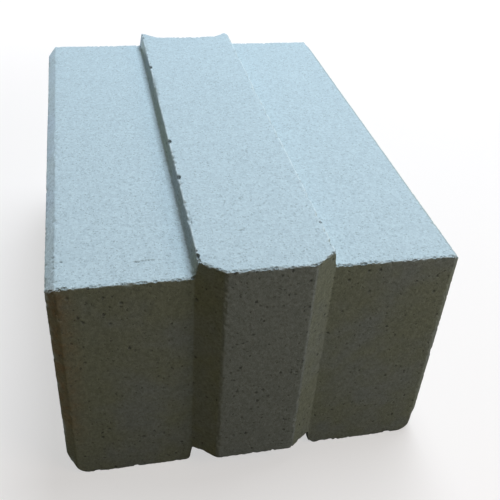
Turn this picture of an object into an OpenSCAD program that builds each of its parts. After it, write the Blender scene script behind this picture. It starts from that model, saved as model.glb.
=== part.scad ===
// Solid interlocking concrete block, cast and pressed in one piece.
// X runs through the wall, Y along the course and Z up. The origin is under the middle of the block.
// A key on top and a tongue on the front end enter the grooves of the blocks above and beside it.

/* [Block] */
// Laying length along the course, without the tongue
block_l = 280; // [200:5:400]
// Thickness of the wall that it builds
block_w = 200; // [140:5:300]
// Laying height of one course, without the key
block_h = 130; // [90:5:250]
// Bevel on the four edges of each exposed side
edge_bevel = 5; // [2:0.5:10]

/* [Interlock] */
// Width of the key and the tongue where they leave the block
root_w = 67; // [50:1:90]
// Height of the key on top
key_h = 10; // [6:0.5:16]
// Lean of each side of the key, measured at its crown
key_draft = 1.5; // [0.5:0.5:5]
// Reach of the tongue from the front end
tongue_reach = 10; // [6:0.5:16]
// Width of the tongue's flat nose
nose_w = 41; // [24:1:46]
// Fillet at the roots of the key and the tongue
root_fillet = 1; // [0.5:0.5:4]
// Room for dust and tolerance round a key or tongue in its groove
joint_gap = 1; // [0.5:0.25:2]

/* [Hidden] */

// Steps along each fillet
fillet_steps = 6;

crown_w = root_w - 2 * key_draft;
groove_mouth_w = root_w + 2 * joint_gap;
bed_groove_floor_w = crown_w + 2 * joint_gap;
bed_groove_depth = key_h + joint_gap;
end_groove_floor_w = nose_w + 2 * joint_gap;
end_groove_depth = tongue_reach + joint_gap;
mouth_round = root_fillet + joint_gap;
overall_l = block_l + tongue_reach;
overall_h = block_h + key_h;
nose_y = -overall_l / 2;
front_y = nose_y + tongue_reach;
back_y = overall_l / 2;

function unit(v) = v / norm(v);

// Arc of radius r that rounds the corner between two straight edges and touches both
function rounded(before, corner, after, r) =
    let (
        a = unit(before - corner),
        b = unit(after - corner),
        half = acos(a * b) / 2,
        centre = corner + unit(a + b) * r / sin(half),
        from = corner + a * r / tan(half) - centre,
        turn = a.x * b.y - a.y * b.x > 0 ? -1 : 1,
        sweep = turn * (180 - 2 * half)
    )
    [
        for (i = [0:fillet_steps])
            let (t = sweep * i / fillet_steps)
            centre + [from.x * cos(t) - from.y * sin(t), from.x * sin(t) + from.y * cos(t)]
    ];

// Closed outline from its right half, listed from one end of the centre line to the other
function both_sides(right) =
    concat(right, [for (i = [len(right) - 1:-1:0]) [-right[i].x, right[i].y]]);

// Section across the wall: bevelled sides, the key on top and the groove in the bed
module wall_section() {
    groove_floor = [bed_groove_floor_w / 2, bed_groove_depth];
    groove_mouth = [groove_mouth_w / 2, 0];
    bed_edge = [block_w / 2 - edge_bevel, 0];
    shoulder_edge = [block_w / 2 - edge_bevel, block_h];
    key_root = [root_w / 2, block_h];
    key_crown = [crown_w / 2, overall_h];
    polygon(both_sides(concat(
        [groove_floor],
        rounded(groove_floor, groove_mouth, bed_edge, mouth_round),
        [
            bed_edge,
            [block_w / 2, edge_bevel],
            [block_w / 2, block_h - edge_bevel],
            shoulder_edge
        ],
        rounded(shoulder_edge, key_root, key_crown, root_fillet),
        [key_crown]
    )));
}

// Plan seen from above: the tongue in front, bevelled upright edges and the groove in the back
module plan() {
    nose = [nose_w / 2, nose_y];
    tongue_root = [root_w / 2, front_y];
    front_edge = [block_w / 2 - edge_bevel, front_y];
    back_edge = [block_w / 2 - edge_bevel, back_y];
    groove_mouth = [groove_mouth_w / 2, back_y];
    groove_floor = [end_groove_floor_w / 2, back_y - end_groove_depth];
    polygon(both_sides(concat(
        [nose],
        rounded(nose, tongue_root, front_edge, root_fillet),
        [
            front_edge,
            [block_w / 2, front_y + edge_bevel],
            [block_w / 2, back_y - edge_bevel],
            back_edge
        ],
        rounded(back_edge, groove_mouth, groove_floor, mouth_round),
        [groove_floor]
    )));
}

// The section carried along the course and the plan carried upwards meet in the finished block,
// so the bevels close in mitred corners and each groove cuts through the key or tongue in its way
module block() {
    color("#a3aeb2")
    intersection() {
        translate([0, back_y, 0])
            rotate([90, 0, 0])
            linear_extrude(overall_l)
            wall_section();
        linear_extrude(overall_h)
            plan();
    }
}

block();
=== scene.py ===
import math

import bpy
import numpy as np
from mathutils import Matrix, Vector


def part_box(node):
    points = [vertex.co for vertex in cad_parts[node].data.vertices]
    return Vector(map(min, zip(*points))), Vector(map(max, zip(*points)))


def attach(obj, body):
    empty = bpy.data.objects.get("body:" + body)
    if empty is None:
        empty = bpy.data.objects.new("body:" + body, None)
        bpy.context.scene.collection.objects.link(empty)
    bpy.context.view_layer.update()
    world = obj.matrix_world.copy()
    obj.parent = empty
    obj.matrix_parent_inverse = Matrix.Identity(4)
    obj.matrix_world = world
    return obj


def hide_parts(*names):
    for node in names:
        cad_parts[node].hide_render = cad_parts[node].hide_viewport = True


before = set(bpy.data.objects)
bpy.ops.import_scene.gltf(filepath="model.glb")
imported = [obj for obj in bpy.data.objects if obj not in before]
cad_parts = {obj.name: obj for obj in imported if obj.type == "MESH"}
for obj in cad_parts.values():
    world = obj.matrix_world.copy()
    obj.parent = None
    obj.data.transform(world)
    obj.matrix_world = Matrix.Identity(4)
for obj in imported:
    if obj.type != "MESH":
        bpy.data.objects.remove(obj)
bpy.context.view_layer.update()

# The block is one solid casting of dense, fine-grained grey concrete, pressed in a steel mould and cured.
# A key runs along its top and a tongue stands on its front end, and a groove to match each of them is
# moulded below and behind. The side faces have bevelled edges, and handling has chipped the arrises.
box_low, box_high = (np.array(corner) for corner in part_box("block"))
half_width = box_high[0]
crown_z = box_high[2]
nose_y = box_low[1]
back_y = box_high[1]

bevel = 0.005
key_height = 0.010
tongue_reach = 0.010
joint_gap = 0.001
root_half = 0.0335
crown_half = 0.0320
nose_half = 0.0205
root_fillet = 0.001
mouth_round = root_fillet + joint_gap

shoulder_z = crown_z - key_height
front_y = nose_y + tongue_reach
flat_edge = half_width - bevel
groove_z = key_height + joint_gap
groove_y = back_y - tongue_reach - joint_gap
fillet_steps = 6


def fillet(before, corner, after, radius):
    """Arc that rounds a corner and touches both its edges: the two feet, seen from the arc's centre, are
    blended by sines of the angle that is left and the angle that is done."""
    before, corner, after = (np.array(point, float) for point in (before, corner, after))
    back = (before - corner) / np.linalg.norm(before - corner)
    on = (after - corner) / np.linalg.norm(after - corner)
    half_angle = np.arccos(back @ on) / 2
    middle = (back + on) / np.linalg.norm(back + on)
    centre = corner + middle * radius / np.sin(half_angle)
    first = corner + back * radius / np.tan(half_angle) - centre
    last = corner + on * radius / np.tan(half_angle) - centre
    sweep = np.pi - 2 * half_angle
    done = np.linspace(0, sweep, fillet_steps + 1)[:, None]
    return centre + (np.sin(sweep - done) * first + np.sin(done) * last) / np.sin(sweep)


# Right halves of the outlines, from the centre line outwards: the top and the bed across the wall, and
# the front and the back seen from above.
key_root = (root_half, shoulder_z)
key_crown = (crown_half, crown_z)
shoulder_edge = (flat_edge, shoulder_z)
top_half = np.array([
    (0, crown_z), (nose_half, crown_z), key_crown,
    *fillet(key_crown, key_root, shoulder_edge, root_fillet),
    shoulder_edge, (half_width, shoulder_z - bevel)])

groove_mouth = (root_half + joint_gap, 0)
groove_floor = (crown_half + joint_gap, groove_z)
bed_edge = (flat_edge, 0)
bed_half = np.array([
    (0, groove_z), (nose_half, groove_z), groove_floor,
    *fillet(groove_floor, groove_mouth, bed_edge, mouth_round),
    bed_edge, (half_width, bevel)])

nose = (nose_half, nose_y)
tongue_root = (root_half, front_y)
front_edge = (flat_edge, front_y)
front_half = np.array([
    (0, nose_y), nose, *fillet(nose, tongue_root, front_edge, root_fillet),
    front_edge, (half_width, front_y + bevel)])

end_mouth = (root_half + joint_gap, back_y)
end_floor = (nose_half + joint_gap, groove_y)
back_edge = (flat_edge, back_y)
back_half = np.array([
    (0, groove_y), end_floor, *fillet(end_floor, end_mouth, back_edge, mouth_round),
    back_edge, (half_width, back_y - bevel)])


def crowded(cells, pull):
    """Steps from 0 to 1 that crowd towards both ends: even steps less a share of one sine wave."""
    even = np.linspace(0, 1, cells + 1)
    return even - pull * np.sin(2 * np.pi * even) / (2 * np.pi)


def walked(half, cells, pull):
    """Points along a whole outline: each straight run of its right half is cut into its own count of cells,
    crowded to the run's ends, and the left half is the mirror image."""
    runs = [run + crowded(count, pull)[:-1] for run, count in enumerate(cells)]
    stations = np.append(np.concatenate(runs), len(cells))
    corners = np.arange(len(half))
    right = np.stack([np.interp(stations, corners, half[:, axis]) for axis in (0, 1)], axis=1)
    return np.concatenate([right[:0:-1] * (-1, 1), right])


# The skin of the block is the skin of a box of cells that is bent to the outlines. A point's column picks a
# place on the top and on the bed, its layer a height between them, and its row a place between the ends.
# The cells crowd towards the arrises, where the fine damage is. Each run of an outline has its own count of
# cells, and the finest cell is the narrowest one outside the fillets.
run_cells = [52, 28, 16, *[1] * fillet_steps, 150, 16]
run_pull = 0.3
top_line = walked(top_half, run_cells, run_pull)
bed_line = walked(bed_half, run_cells, run_pull)
along = crowded(360, 0.65)
upward = crowded(220, 0.5)
finest_cell = 0.00027

lattice = (len(top_line), len(along), len(upward))
skin = np.zeros(lattice, bool)
skin[[0, -1]] = True
skin[:, [0, -1]] = True
skin[:, :, [0, -1]] = True
column, row, layer = np.nonzero(skin)
number = np.full(lattice, -1, np.int32)
number[skin] = np.arange(len(column))

section = bed_line[column] + upward[layer, None] * (top_line[column] - bed_line[column])
front = np.interp(np.abs(section[:, 0]), *front_half.T)
back = np.interp(np.abs(section[:, 0]), *back_half.T)
moulded = np.stack([section[:, 0], front + along[row] * (back - front), section[:, 1]], axis=1)


def sheet(grid):
    """Four-sided faces over a grid of point numbers: each corner, the next one along, across and back."""
    return np.stack([grid[:-1, :-1], grid[1:, :-1], grid[1:, 1:], grid[:-1, 1:]], axis=-1).reshape(-1, 4)


faces = np.concatenate([
    sheet(number[:, :, -1]), sheet(number[:, :, 0])[:, ::-1],
    sheet(number[:, 0]), sheet(number[:, -1])[:, ::-1],
    sheet(number[-1]), sheet(number[0])[:, ::-1]])
edge_start = faces.ravel()
edge_end = np.roll(faces, -1, axis=1).ravel()
neighbours = np.bincount(edge_start)[:, None]


def rubbed(points, rounds):
    """Points that go half-way to the mean of their neighbours, round after round, which rounds arrises."""
    for _ in range(rounds):
        sums = [np.bincount(edge_start, points[edge_end, axis]) for axis in range(3)]
        points = (points + np.stack(sums, axis=1) / neighbours) / 2
    return points


def face_areas(points):
    """Area vector at each point: the sum over its faces of the cross product of their diagonals."""
    corners = points[faces]
    cross = np.cross(corners[:, 2] - corners[:, 0], corners[:, 3] - corners[:, 1])
    sums = [np.bincount(edge_start, np.repeat(cross[:, axis], 4)) for axis in range(3)]
    return np.stack(sums, axis=1)


def unit(vectors):
    """Vectors of length 1 in the same directions."""
    return vectors / np.linalg.norm(vectors, axis=-1, keepdims=True)


shuffle = np.random.default_rng(11).permutation(256)


def lumps(points, size, layer_number):
    """Smooth noise from 0 to 1: random heights at the corners of cubes, blended by smooth steps. The layer's
    number picks another stretch of it."""
    place = points / size + 31.7 * layer_number
    cube = np.floor(place).astype(int)
    share = place - cube
    share = share * share * (3 - 2 * share)
    total = np.zeros(len(points))
    for corner in np.ndindex(2, 2, 2):
        weight = np.prod(np.where(corner, share, 1 - share), axis=1)
        near = cube + corner
        mixed = shuffle[(shuffle[(shuffle[near[:, 0] % 256] + near[:, 1]) % 256] + near[:, 2]) % 256]
        total += weight * mixed / 255
    return total


def chip(points, middle, side, length, depth):
    """Pushes points out of a ball, away from its centre. The ball stands over one point of the moulded skin,
    on the side that it faces, and its radius is the one whose cap has the chip's length and depth. Its
    skin is rough: noise takes up to half the depth off the radius."""
    radius = length ** 2 / (8 * depth) + depth / 2
    centre = moulded[middle] + side * (radius - depth)
    reach = math.ceil(length / finest_cell)
    cells = (column[middle], row[middle], layer[middle])
    near = number[tuple(slice(max(cell - reach, 0), cell + reach + 1) for cell in cells)]
    near = near[near >= 0]
    offset = points[near] - centre
    distance = np.linalg.norm(offset, axis=1)
    roughness = 0.6 * lumps(points[near], 0.0014, 5) + 0.4 * lumps(points[near], 0.0006, 7)
    wall = radius - 0.5 * depth * roughness
    hit = distance < wall
    points[near[hit]] = centre + offset[hit] * (wall / distance)[hit, None]


def nearest(place):
    """Number of the moulded point nearest to a place."""
    return np.argmin(np.linalg.norm(moulded - place, axis=1))


# Wear: all arrises are a little round, and broken back further in patches.
light_rubbing = 8
hard_rubbing = 100
gritty_loss = 0.0008
patch_start = 0.58
patch_fade = 0.10
rounded = rubbed(moulded, light_rubbing)
broken = rubbed(rounded, hard_rubbing)
areas = face_areas(broken)
facing = unit(areas)
arris = np.clip(np.sum((moulded - broken) * facing, axis=1), 0, None)
grit = np.clip(arris / gritty_loss, 0, 1)
patches = 0.45 * lumps(moulded, 0.006, 1) + 0.55 * lumps(moulded, 0.0018, 2)
wear = np.clip((patches - patch_start) / patch_fade, 0, 1)[:, None]
worn = rounded + wear * (broken - rounded)


def knocked_round(points, corner, side, radius, depth):
    """Points that a corner's rounding pulls on to a ball inside it, less and less away from the corner."""
    offset = points - (corner - side * (radius + depth))
    distance = np.linalg.norm(offset, axis=1)
    fade = np.clip(1.5 - np.linalg.norm(points - corner, axis=1) / radius, 0, 1)
    pull = fade * np.clip(distance - radius, 0, None) / distance
    return points - offset * pull[:, None]


# The bed's two front corners are knocked round, and a flake has come off the foot of the tongue's left flank.
for hand in (-1, 1):
    corner = np.array((hand * flat_edge, front_y, 0))
    knock = unit(np.array((hand * 0.6, -0.4, -0.7)))
    worn = knocked_round(worn, corner, knock, radius=0.0100, depth=0.0030)
left_flank = unit(np.array((-0.61, -0.79, -0.1)))
flank_foot = (-0.0270, -0.1400, 0.0150)
chip(worn, nearest(flank_foot), left_flank, length=0.0090, depth=0.0009)

# Nicks: the upper front arris is ragged and pitted just behind its lip, and the others have lost fewer
# grains, except round the bed, which is smooth.
unbroken = worn.copy()
dice = np.random.default_rng(23)
front_arris = number[:, 0, -1]
behind_lip = number[:, 1:5, -1].ravel()
sharp_arris = arris > 0.0006
above_bed = moulded[:, 2] > 0.014
other_arrises = np.flatnonzero(sharp_arris & (row > 4) & above_bed)
shortest = 0.0010
shallowest = 0.0004
for places, count, longest, deepest in [
        (front_arris, 160, 0.0032, 0.0010),
        (behind_lip, 260, 0.0024, 0.0010),
        (other_arrises, 90, 0.0026, 0.0008)]:
    for place in dice.choice(places, count):
        length = shortest + (longest - shortest) * dice.random() ** 2
        depth = min(0.4 * length, shallowest + (deepest - shallowest) * dice.random())
        side = unit(facing[place] + 0.7 * unit(dice.normal(size=3)))
        chip(worn, place, side, length, depth)

# Larger chips along the crown's left arris: three on their own and a cluster at the front corner.
leftwards = unit(np.array((-1, 0, 0.6)))
for place_y, length, depth in [
        (0.0801, 0.0065, 0.0023),
        (-0.0240, 0.0060, 0.0022),
        (-0.0631, 0.0065, 0.0024),
        (-0.1275, 0.0030, 0.0010),
        (-0.1310, 0.0050, 0.0016),
        (-0.1345, 0.0045, 0.0014)]:
    chip(worn, nearest((-crown_half, place_y, crown_z)), leftwards, length, depth)
# Depth at which a chip gets its full painted shade.
chip_shade_depth = 0.0008
chipped = np.clip(np.linalg.norm(worn - unbroken, axis=1) / chip_shade_depth, 0, 1)

# Air holes: a broken row of them and a single one near the front of the left shoulder, a long one on the
# crown, two on the crown's right arris, and others that the pressing left anywhere on the upright faces.
unpitted = worn.copy()
upwards = np.array((0, 0, 1))
for share in (0.0, 0.10, 0.19, 0.40, 0.58, 0.72, 0.90, 1.0):
    place_in_row = (-0.0592 + 0.0091 * share, -0.1192 + 0.0006 * share, shoulder_z)
    chip(worn, nearest(place_in_row), upwards, length=0.0018, depth=0.0006)
chip(worn, nearest((-0.0922, -0.1148, shoulder_z)), upwards, length=0.0020, depth=0.0007)
for shift in (-0.0008, 0.0, 0.0009):
    chip(worn, nearest((-0.008 + shift, -0.1142, crown_z)), upwards, length=0.0017, depth=0.0006)
for hole_y in (-0.1123, -0.1306):
    chip(worn, nearest((crown_half - 0.0005, hole_y, crown_z)), upwards, length=0.0024, depth=0.0011)
hole_count = 260
hole_depth = 0.0006
# Depth at which a pit gets its full painted shade.
hole_shade_depth = 0.0005
upright = (arris < 0.0001) & (np.abs(facing[:, 2]) < 0.5)
chance = np.linalg.norm(areas, axis=1) * upright
for place in dice.choice(len(chance), hole_count, p=chance / chance.sum()):
    chip(worn, place, facing[place], 0.0014 + 0.0016 * dice.random() ** 2, hole_depth)
hollow = np.clip(np.linalg.norm(worn - unpitted, axis=1) / hole_shade_depth, 0, 1)

# The faces are flat to about a tenth of a millimetre, and the arrises are gritty.
waviness = 0.00020
grit_height = 0.0005
normals = unit(face_areas(worn))
rough = 0.5 * lumps(worn, 0.0011, 4) + 0.5 * lumps(worn, 0.0022, 6) - 0.6
unevenness = waviness * (lumps(worn, 0.030, 3) - 0.5) + grit_height * grit * rough
cast = worn + normals * unevenness[:, None]
side_facing = 1 - np.clip(normals[:, 2], 0, 1)

# The full skin is thinned, most where it is flat, to a count of triangles that is light enough to share.
triangles_kept = 190000
mesh = bpy.data.meshes.new("concrete_block")
mesh.from_pydata(cast, [], faces)
for name, values in (("arris", grit), ("chipped", chipped), ("hollow", hollow), ("side_facing", side_facing)):
    mesh.attributes.new(name, "FLOAT", "POINT").data.foreach_set("value", values.astype(np.float32))
full_block = bpy.data.objects.new("full_block", mesh)
bpy.context.scene.collection.objects.link(full_block)
thinning = full_block.modifiers.new("thinning", "DECIMATE")
thinning.ratio = triangles_kept / (2 * len(faces))
graph = bpy.context.evaluated_depsgraph_get()
thin_mesh = bpy.data.meshes.new_from_object(full_block.evaluated_get(graph))
bpy.data.objects.remove(full_block)
thin_mesh.name = "concrete_block"
thin_mesh.shade_smooth()
block = bpy.data.objects.new("concrete_block", thin_mesh)
bpy.context.scene.collection.objects.link(block)
flat_shading = block.modifiers.new("flat_shading", "WEIGHTED_NORMAL")
flat_shading.mode = "FACE_AREA"


class Shade:
    """A socket of a material's nodes. Operators on it add Math nodes, and node() adds any other node."""

    def __init__(self, tree, socket=None):
        self.tree = tree
        self.socket = socket

    def node(self, kind, settings, sockets, output=0):
        made = self.tree.nodes.new(kind)
        for name, value in settings.items():
            setattr(made, name, value)
        for name, value in sockets.items():
            if isinstance(value, Shade):
                self.tree.links.new(value.socket, made.inputs[name])
            else:
                made.inputs[name].default_value = value
        return Shade(self.tree, made.outputs[output] if len(made.outputs) else None)

    def math(self, operation, first, second):
        return self.node("ShaderNodeMath", {"operation": operation}, {0: first, 1: second})

    def __add__(self, other):
        return self.math("ADD", self, other)

    def __radd__(self, other):
        return self.math("ADD", other, self)

    def __sub__(self, other):
        return self.math("SUBTRACT", self, other)

    def __rsub__(self, other):
        return self.math("SUBTRACT", other, self)

    def __mul__(self, other):
        return self.math("MULTIPLY", self, other)

    def __rmul__(self, other):
        return self.math("MULTIPLY", other, self)


def new_material(name):
    """An empty node material and a Shade to start its nodes from."""
    material = bpy.data.materials.new(name)
    material.use_nodes = True
    material.node_tree.nodes.clear()
    return material, Shade(material.node_tree)


def step(value, low, high):
    """Smooth step of a value: 0 below low, 1 above high."""
    return value.node("ShaderNodeMapRange", {"interpolation_type": "SMOOTHSTEP"},
                      {"Value": value, "From Min": low, "From Max": high})


def tint(factor, first, second, blend="MIX"):
    """Colour between two colours by a factor, or the first colour blended with the second by that factor."""
    return factor.node("ShaderNodeMix", {"data_type": "RGBA", "blend_type": blend}, {
        "Factor": factor, 6: first, 7: second}, 2)


concrete, concrete_nodes = new_material("concrete")
spot = concrete_nodes.node("ShaderNodeTexCoord", {}, {}, "Object")


def noise(scale, detail, roughness=0.6):
    """Noise from 0 to 1 over the block, with scale in lumps to the metre."""
    return concrete_nodes.node("ShaderNodeTexNoise", {}, {
        "Vector": spot, "Scale": scale, "Detail": detail, "Roughness": roughness})


def sand_grains(grains_to_metre):
    """Sand grains that touch each other, each with a random value from 0 to 1."""
    cell_colour = concrete_nodes.node("ShaderNodeTexVoronoi", {"feature": "F1"}, {
        "Vector": spot, "Scale": grains_to_metre}, "Color")
    return concrete_nodes.node("ShaderNodeSeparateColor", {}, {"Color": cell_colour}, 0)


# Fine noise shifts each spot by a millimetre or so, which makes the outlines of the pores ragged.
wander = concrete_nodes.node("ShaderNodeTexNoise", {}, {"Vector": spot, "Scale": 900, "Detail": 1}, 1)
jittered = concrete_nodes.node("ShaderNodeVectorMath", {"operation": "MULTIPLY_ADD"}, {
    0: wander, 1: (0.0016, 0.0016, 0.0016), 2: spot})


def pores(cells_to_metre, chance, largest):
    """Ragged air holes, at most one to a cell. The cell's luck sets the hole's size, a share of the cell."""
    cell = {"Vector": jittered, "Scale": cells_to_metre}
    distance = concrete_nodes.node("ShaderNodeTexVoronoi", {"feature": "F1"}, cell, "Distance")
    cell_colour = concrete_nodes.node("ShaderNodeTexVoronoi", {"feature": "F1"}, cell, "Color")
    luck = concrete_nodes.node("ShaderNodeSeparateColor", {}, {"Color": cell_colour}, 0)
    return step(largest * step(luck, 1 - chance, 1.0) - distance, 0.0, 0.6 * largest)


def attribute(name):
    """A value that the mesh carries."""
    return concrete_nodes.node("ShaderNodeAttribute", {"attribute_name": name}, {}, "Fac")


def place_along(axis):
    """Place on the block along one axis, in metres."""
    return concrete_nodes.node("ShaderNodeSeparateXYZ", {}, {"Vector": spot}, axis)


cement = (0.56, 0.665, 0.715, 1)
damp_cement = (0.40, 0.48, 0.525, 1)
# Two tones that make upright faces darker than the top, the more the more sideways they face.
pale_side_tone = (0.90, 0.90, 0.89, 1)
dark_side_tone = (0.70, 0.70, 0.69, 1)
olive_bloom = (0.98, 0.96, 0.78, 1)
# Painted reflection of brown light.
painted_brown_light = (1.12, 0.82, 0.69, 1)
dark_sand = (0.20, 0.24, 0.25, 1)
# Painted shade inside chips, partly the darker sand of broken concrete.
chip_painted_shade = (0.12, 0.145, 0.15, 1)
# Painted shade in air holes and pits.
painted_hole_shade = (0.10, 0.115, 0.12, 1)
# Painted highlight for the rubbed arrises.
painted_arris_highlight = (0.68, 0.76, 0.79, 1)

clouds = noise(14, 4)
bloom = noise(24.5, 3)
mottle = noise(120, 2)
sand = noise(700, 2, 0.7)
gravel = noise(400, 2, 0.7)
coarse_grains = sand_grains(800)
fine_grains = sand_grains(1500)
small_pores = pores(380, 0.9, 0.34)
large_pores = pores(190, 0.9, 0.24)
side_face = attribute("side_facing")
# The bloom is rubbed off the tongue's nose, and painted brown reflected light lies in patches on the front's
# left bevel.
off_the_nose = step(place_along("Y"), nose_y + 0.0003, nose_y + 0.0015)
left_margin = 1 - step(place_along("X"), -half_width + 0.0015, -flat_edge + 0.0120)
front_margin = 1 - step(place_along("Y"), front_y + 0.0020, front_y + 0.0090)
upper_part = step(place_along("Z"), 0.010, 0.060)
brown_light_patches = left_margin * front_margin * upper_part * (0.5 + 0.5 * step(mottle, 0.40, 0.60))
chip_shading = attribute("chipped")
holes = concrete_nodes.math("MAXIMUM", small_pores * 0.7, large_pores) * (0.25 + 0.75 * side_face)
hole_shading = concrete_nodes.math("MAXIMUM", holes, attribute("hollow"))

# Cement clouded by its sand comes first, then upright faces made darker than the top, the bloom and a painted
# reflection of brown light, stray dark grains, a painted highlight on the rubbed arrises, and painted shade
# in chips and air holes.
tone = 0.1 * clouds + 0.1 * mottle + 0.15 * gravel + 0.25 * sand + 0.3 * coarse_grains + 0.2 * fine_grains
colour = tint(step(tone, 0.08, 1.02), damp_cement, cement)
# Upright faces are made darker than the top, the more the more sideways they face.
side_tone = tint(step(0.5 * gravel + 0.5 * sand, 0.32, 0.68), dark_side_tone, pale_side_tone)
colour = tint(side_face, colour, side_tone, "MULTIPLY")
colour = tint(side_face * off_the_nose * step(bloom, 0.30, 0.60), colour, olive_bloom, "MULTIPLY")
# Painted reflection of brown light on the front's left bevel, in patches, most in its upper part.
colour = tint(side_face * brown_light_patches, colour, painted_brown_light, "MULTIPLY")
colour = tint(0.5 * step(fine_grains, 0.94, 0.96), colour, dark_sand)
# Rubbed arrises get a painted highlight, paler where grains catch the light.
highlight_rim = step(attribute("arris"), 0.6, 1.0) * (0.4 + 0.6 * step(mottle, 0.30, 0.6))
colour = tint(0.65 * highlight_rim * (1 - chip_shading), colour, painted_arris_highlight)
# Chips get painted shade inside, partly the darker sand of broken concrete.
colour = tint(chip_shading * (0.45 + 0.55 * step(sand, 0.42, 0.58)), colour, chip_painted_shade)
# Air holes and pits get painted shade.
colour = tint(0.7 * hole_shading, colour, painted_hole_shade)

height = 0.5 * sand + 0.3 * fine_grains - holes
relief = concrete_nodes.node("ShaderNodeBump", {}, {"Strength": 1.0, "Distance": 0.0003, "Height": height})
surface = concrete_nodes.node("ShaderNodeBsdfPrincipled", {}, {
    "Base Color": colour, "Roughness": 0.86 + 0.1 * mottle, "Normal": relief, "Specular IOR Level": 0.1})
concrete_nodes.node("ShaderNodeOutputMaterial", {}, {"Surface": surface})
block.data.materials.append(concrete)

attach(block, "root")
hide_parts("block")

# The floor is a plain pale studio floor, laid level under the block.
# To the camera it is white paper, and it returns little light, so that the front end stays in shade.
floor_reach = 6.0
floor_mesh = bpy.data.meshes.new("floor")
floor_corners = floor_reach * np.array([(-1, -1, 0), (1, -1, 0), (1, 1, 0), (-1, 1, 0)])
floor_mesh.from_pydata(floor_corners, [], [(0, 1, 2, 3)])
floor = bpy.data.objects.new("floor", floor_mesh)
bpy.context.scene.collection.objects.link(floor)


def looked_at(nodes):
    """1 for a ray that shows a surface, directly, mirrored or through glass, and 0 for any other ray."""
    seen = nodes.node("ShaderNodeLightPath", {}, {}, "Is Camera Ray")
    mirrored = nodes.node("ShaderNodeLightPath", {}, {}, "Is Glossy Ray")
    through = nodes.node("ShaderNodeLightPath", {}, {}, "Is Transmission Ray")
    return nodes.math("MINIMUM", seen + mirrored + through, 1.0)


# The paper glows less near the block, where its shadow shows.
paper, paper_nodes = new_material("floor_paper")
shown = looked_at(paper_nodes)
white_paper = (0.40, 0.36, 0.345, 1)
dull_floor = (0.095, 0.074, 0.040, 1)
floor_spot = paper_nodes.node("ShaderNodeTexCoord", {}, {}, "Object")
reach = paper_nodes.node("ShaderNodeVectorMath", {"operation": "LENGTH"}, {0: floor_spot}, "Value")
far = step(reach, 0.35, 1.3)
matt = paper_nodes.node("ShaderNodeBsdfDiffuse", {}, {"Color": tint(shown, dull_floor, white_paper)})
glow_colour = tint(shown * (0.56 + 0.44 * far), (0, 0, 0, 1), (1, 1, 1, 1))
glow = paper_nodes.node("ShaderNodeEmission", {}, {"Color": glow_colour, "Strength": 1.0})
lit = paper_nodes.node("ShaderNodeAddShader", {}, {0: matt, 1: glow})
paper_nodes.node("ShaderNodeOutputMaterial", {}, {"Surface": lit})
floor.data.materials.append(paper)


# The light is one wide soft box overhead, a little to the right and mostly behind the front end,
# with a small warm lamp on the right, a fainter one on the left, one low at the back left, and a faint
# even glow all round.
def soft_box(name, place, aim, width, length, watts, colour):
    """Rectangular area light that looks from its place to a point."""
    lamp = bpy.data.lights.new(name, "AREA")
    lamp.shape = "RECTANGLE"
    lamp.size = width
    lamp.size_y = length
    lamp.energy = watts
    lamp.color = colour
    holder = bpy.data.objects.new(name, lamp)
    holder.location = place
    holder.rotation_mode = "QUATERNION"
    holder.rotation_quaternion = (Vector(aim) - Vector(place)).to_track_quat("-Z", "Y")
    holder.visible_camera = False
    bpy.context.scene.collection.objects.link(holder)


soft_box("overhead", place=(0.38, 0.75, 1.5), aim=(0.38, 0.75, 0.0),
         width=0.8, length=1.7, watts=36.2, colour=(0.85, 0.975, 1.07))
soft_box("side_fill", place=(0.43, -0.45, 0.50), aim=(0.0, -0.13, 0.07),
         width=0.3, length=0.3, watts=0.90, colour=(1.0, 0.85, 0.71))
soft_box("left_fill", place=(-0.70, -0.24, 0.45), aim=(-0.06, -0.14, 0.07),
         width=0.3, length=0.3, watts=0.17, colour=(1.0, 0.60, 0.08))
soft_box("back_fill", place=(-0.70, 0.62, 0.025), aim=(-0.05, 0.05, 0.05),
         width=0.5, length=0.04, watts=4.3, colour=(0.80, 0.90, 1.13))

world = bpy.data.worlds.new("studio")
world.use_nodes = True
world.node_tree.nodes.clear()
world_nodes = Shade(world.node_tree)
room = world_nodes.node("ShaderNodeBackground", {}, {"Color": (1.0, 0.90, 0.66, 1), "Strength": 0.058})
backdrop = world_nodes.node("ShaderNodeBackground", {}, {"Color": (1, 1, 1, 1), "Strength": 1.0})
sky = world_nodes.node("ShaderNodeMixShader", {}, {0: looked_at(world_nodes), 1: room, 2: backdrop})
world_nodes.node("ShaderNodeOutputWorld", {}, {"Surface": sky})
bpy.context.scene.world = world
bpy.context.scene.view_settings.view_transform = "Standard"

# The camera stands at the photograph's angle, close to the front end and above its left half, and looks
# straight at the block: a shift of the lens would push the block out of the frame from other sides.
camera_place = Vector((-0.0741, -0.3860, 0.3371))
camera_aim = Vector((0.0195, -0.0263, 0.060))
camera_roll = math.radians(4.36)
camera_lens = bpy.data.cameras.new("camera")
camera_lens.lens = 52.10
camera_lens.sensor_width = 36
camera_lens.clip_start = 0.01
camera = bpy.data.objects.new("camera", camera_lens)
forward = (camera_aim - camera_place).normalized()
level = forward.cross(Vector((0, 0, 1))).normalized()
right = level * math.cos(camera_roll) + level.cross(forward) * math.sin(camera_roll)
turn = Matrix((right, right.cross(forward), -forward)).transposed()
camera.matrix_world = Matrix.Translation(camera_place) @ turn.to_4x4()
bpy.context.scene.collection.objects.link(camera)
bpy.context.scene.camera = camera

bpy.context.view_layer.update()
